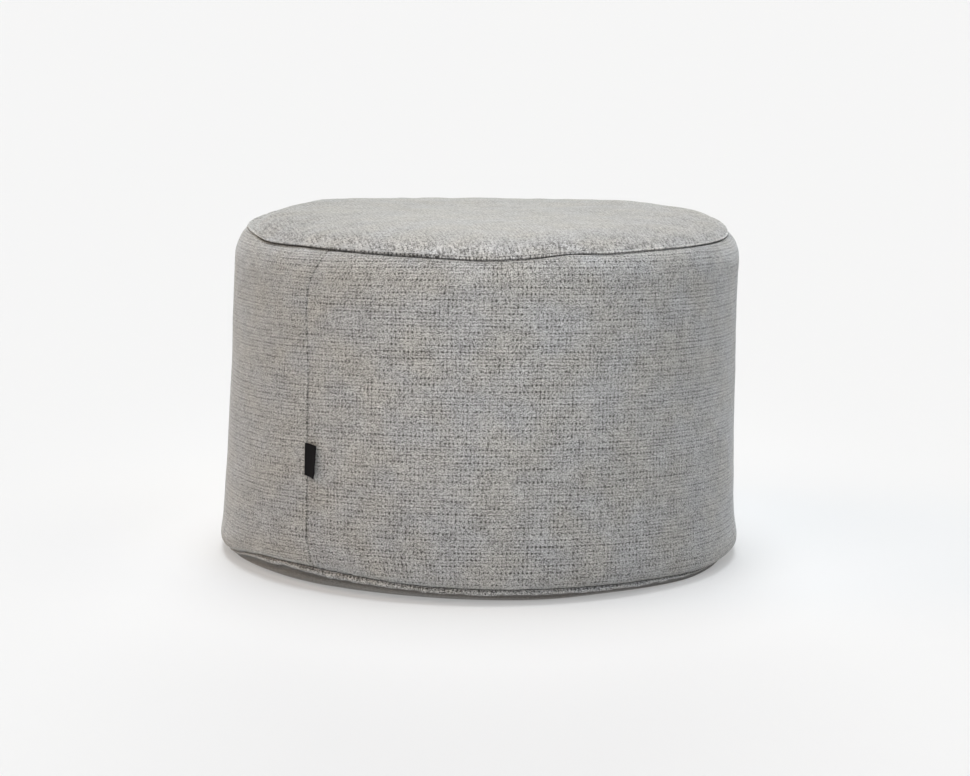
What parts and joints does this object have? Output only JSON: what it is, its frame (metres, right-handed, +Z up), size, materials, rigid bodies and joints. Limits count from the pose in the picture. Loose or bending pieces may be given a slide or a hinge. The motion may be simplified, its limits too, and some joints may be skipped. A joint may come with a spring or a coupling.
{
  "type": "bean bag footstool",
  "caption": "Low round bean-filled footstool: domed top panel, one wall strip drawn in to both seams, rounded underside, and a bare label tape in the upright seam.",
  "frame": {"origin": "middle of the flat underside, on the floor", "axes": "+Z up out of the top, -Y the front, which the upright seam and the label tape face at an angle of 40 degrees to the left"},
  "size_m": [0.531, 0.5267, 0.3458],
  "materials": {
    "top_cloth": "thick greige chenille weave, slubbed, matt, running at a slant across the top",
    "side_cloth": "the same greige chenille weave with level rows round the wall, matt",
    "underside_cloth": "the same greige weave, in shade",
    "label_tape": "fine black woven tape, bare",
    "sewing_thread": "grey polyester sewing thread"
  },
  "bodies": {
    "root": {"top_panel": "top_cloth", "side_panel": "side_cloth", "bottom_panel": "underside_cloth", "label": "label_tape"}
  },
  "joints": []
}
